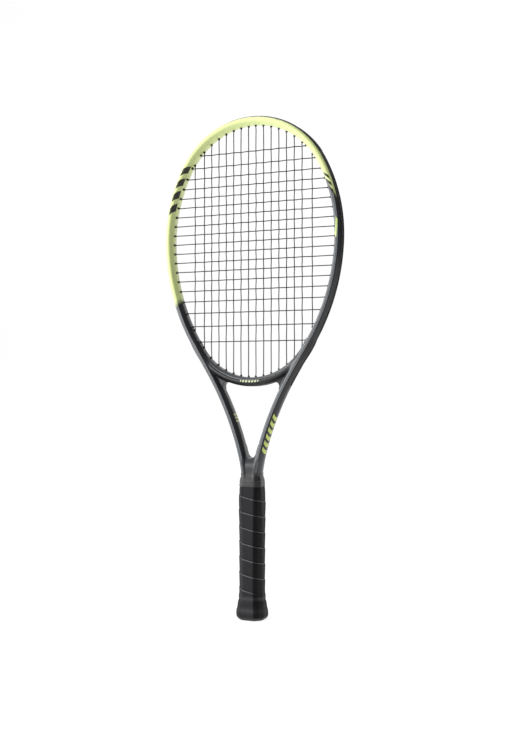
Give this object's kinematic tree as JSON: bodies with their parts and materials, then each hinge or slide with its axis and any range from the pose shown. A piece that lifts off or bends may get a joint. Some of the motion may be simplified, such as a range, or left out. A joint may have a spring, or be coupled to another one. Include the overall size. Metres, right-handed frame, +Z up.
{
  "type": "tennis racket",
  "caption": "Adult tennis racket with a hollow hairpin frame, throat bridge, woven string bed, grommet strips, bumper guard and an octagonal wrapped handle with a flared butt cap.",
  "frame": {"origin": "centre of the butt end, at the foot of the handle", "axes": "+Z up the length of the racket from butt to head, +X across the string bed to the right seen from the front, +Y from front to back, so the front faces -Y"},
  "size_m": [0.2634, 0.0362, 0.6858],
  "materials": {
    "frame_paint": "satin lacquer over graphite, dark grey fading to lime on the head",
    "black_nylon": "satin moulded nylon",
    "string": "smooth co-polyester",
    "pallet_foam": "moulded",
    "cap_plastic": "fine moulded grain",
    "grip_pu": "matte synthetic leather",
    "tape_vinyl": "satin vinyl",
    "staple_steel": "wire"
  },
  "bodies": {
    "racket": {"frame_hoop": "frame_paint", "throat_bridge": "frame_paint", "bumper_guard": "black_nylon", "grommet_strip_left": "black_nylon", "grommet_strip_right": "black_nylon", "bridge_grommet_strip": "black_nylon", "main_string": "string", "cross_string": "string", "pallet_front": "pallet_foam", "pallet_rear": "pallet_foam", "butt_cap": "cap_plastic", "butt_cap_staples": "staple_steel", "grip": "grip_pu", "finishing_tape": "tape_vinyl"},
    "door": {"butt_cap_door": "cap_plastic"}
  },
  "joints": [
    {"name": "butt_cap_door_pull", "type": "slide", "parent": "racket", "child": "door", "axis": [0, 0, -1], "range_m": [0, 0.02]}
  ]
}
